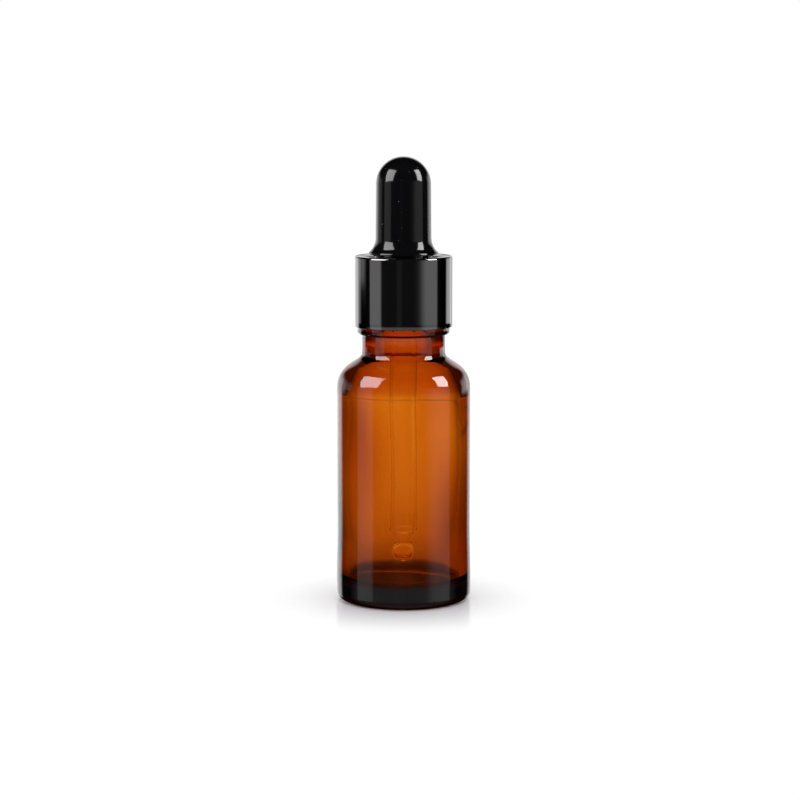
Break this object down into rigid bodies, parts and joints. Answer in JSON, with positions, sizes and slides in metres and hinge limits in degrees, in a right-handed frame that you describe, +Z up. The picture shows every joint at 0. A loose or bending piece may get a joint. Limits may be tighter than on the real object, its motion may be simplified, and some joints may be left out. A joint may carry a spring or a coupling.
{
  "type": "dropper ink bottle",
  "caption": "Small amber glass ink bottle with a black screw cap, rubber squeeze bulb and a glass dropper pipette that lifts out of the neck.",
  "frame": {"origin": "centre of the ring that the bottle stands on", "axes": "+Z up along the bottle's axis, towards the bulb; +Y away from the front"},
  "size_m": [0.029, 0.029, 0.0951],
  "materials": {
    "amber_glass": "polished amber glass",
    "liner_plastic": "moulded polypropylene",
    "black_aluminium": "black mirror-polished anodised",
    "black_rubber": "smooth, slightly glossy",
    "clear_glass": "polished clear glass"
  },
  "bodies": {
    "bottle": {"glass_bottle": "amber_glass"},
    "dropper": {"glass_pipette": "clear_glass"},
    "cap": {"inner_cap": "liner_plastic", "metal_collar": "black_aluminium"},
    "bulb": {"rubber_bulb": "black_rubber"}
  },
  "joints": [
    {"name": "dropper_lift", "type": "slide", "parent": "bottle", "child": "dropper", "axis": [0, 0, 1], "range_m": [0, 0.07201]},
    {"name": "cap_turn", "type": "hinge", "parent": "dropper", "child": "cap", "pos_m": [0, 0, 0.0665], "axis": [0, 0, 1], "range_deg": [0, 8640]},
    {"name": "bulb_squeeze", "type": "slide", "parent": "dropper", "child": "bulb", "axis": [0, 1, 0], "range_m": [0, 0.0035], "stiffness_N_per_m": 1500, "deforming": ["rubber_bulb"]}
  ],
  "couplings": [
    {"joint": "dropper_lift", "follows": "cap_turn", "m_per_rad": 0.00047746}
  ]
}
